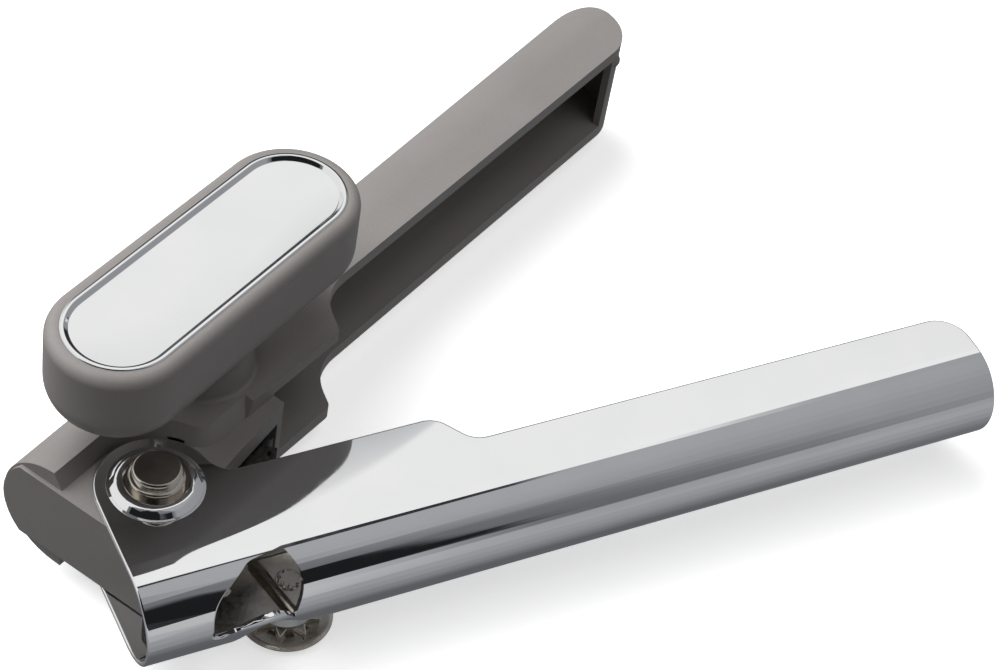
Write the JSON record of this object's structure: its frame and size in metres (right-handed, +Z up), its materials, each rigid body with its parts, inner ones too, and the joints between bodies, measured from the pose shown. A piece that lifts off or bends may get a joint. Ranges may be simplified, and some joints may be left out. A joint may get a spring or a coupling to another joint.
{
  "type": "manual can opener",
  "caption": "Hand-held can opener: bent steel handle with bottle opener, moulded grip handle hinged to it, long top knob driving a feed wheel, and a round cutter.",
  "frame": {"origin": "bottom centre of the bounding box; the pivot stands at x -0.0851, y -0.0439 m", "axes": "+X along the steel handle from the pivot to its far end, +Y towards the grip handle, +Z up along the pivot towards the knob"},
  "size_m": [0.2248, 0.1544, 0.0676],
  "materials": {
    "chrome": "mirror-bright plating on the bent steel handle and the knob's inset plate",
    "nickel": "semi-bright warm nickel plating on the pivot and the cutter",
    "hardened_steel": "plain ground steel",
    "greased_steel": "dark sintered steel under a film of grease",
    "bronze": "sintered bronze",
    "nylon": "natural nylon",
    "grey_plastic": "satin moulded warm grey plastic"
  },
  "bodies": {
    "steel_body": {"steel_handle": "chrome", "cutter_bracket": "nickel", "bracket_rivets": "nickel", "cutter_axle": "nickel", "cutter_spring_washer": "hardened_steel", "pivot_stud": "nickel", "pivot_retaining_ring": "nickel", "pivot_base_washer": "nickel", "pivot_upper_washer": "nylon", "pivot_lower_washer": "nylon"},
    "grip_body": {"grip_handle": "grey_plastic", "pivot_bush": "bronze", "knob_bush_upper": "bronze", "knob_bush_lower": "bronze", "feed_bush_upper": "bronze", "feed_bush_middle": "bronze", "feed_bush_lower": "bronze"},
    "knob_body_assembly": {"knob_body": "grey_plastic", "knob_insert": "chrome", "knob_shaft": "hardened_steel", "knob_screw": "hardened_steel", "knob_washer": "hardened_steel", "knob_gear_spacer": "greased_steel", "knob_gear": "greased_steel", "knob_gear_pin": "greased_steel"},
    "feed_assembly": {"feed_shaft": "hardened_steel", "feed_gear": "greased_steel", "feed_gear_pin": "greased_steel", "feed_washer": "hardened_steel", "feed_wheel": "hardened_steel", "feed_nut": "hardened_steel"},
    "cutter_assembly": {"cutting_wheel": "nickel", "cutter_drive_ring": "nickel"}
  },
  "joints": [
    {"name": "handle_swing", "type": "hinge", "parent": "steel_body", "child": "grip_body", "pos_m": [-0.08506, -0.04386, 0.03225], "axis": [0, 0, 1], "range_deg": [-28, 31]},
    {"name": "knob_turn", "type": "hinge", "parent": "grip_body", "child": "knob_body_assembly", "pos_m": [-0.0647, -0.01558, 0.03225], "axis": [0, 0, 1], "continuous": true},
    {"name": "feed_turn", "type": "hinge", "parent": "grip_body", "child": "feed_assembly", "pos_m": [-0.06335, -0.03353, 0.03225], "axis": [0, 0, 1], "continuous": true},
    {"name": "cutter_turn", "type": "hinge", "parent": "steel_body", "child": "cutter_assembly", "pos_m": [-0.06106, -0.06336, 0.03225], "axis": [0, 0, 1], "continuous": true}
  ],
  "couplings": [
    {"joint": "feed_turn", "follows": "knob_turn", "ratio": -1}
  ]
}
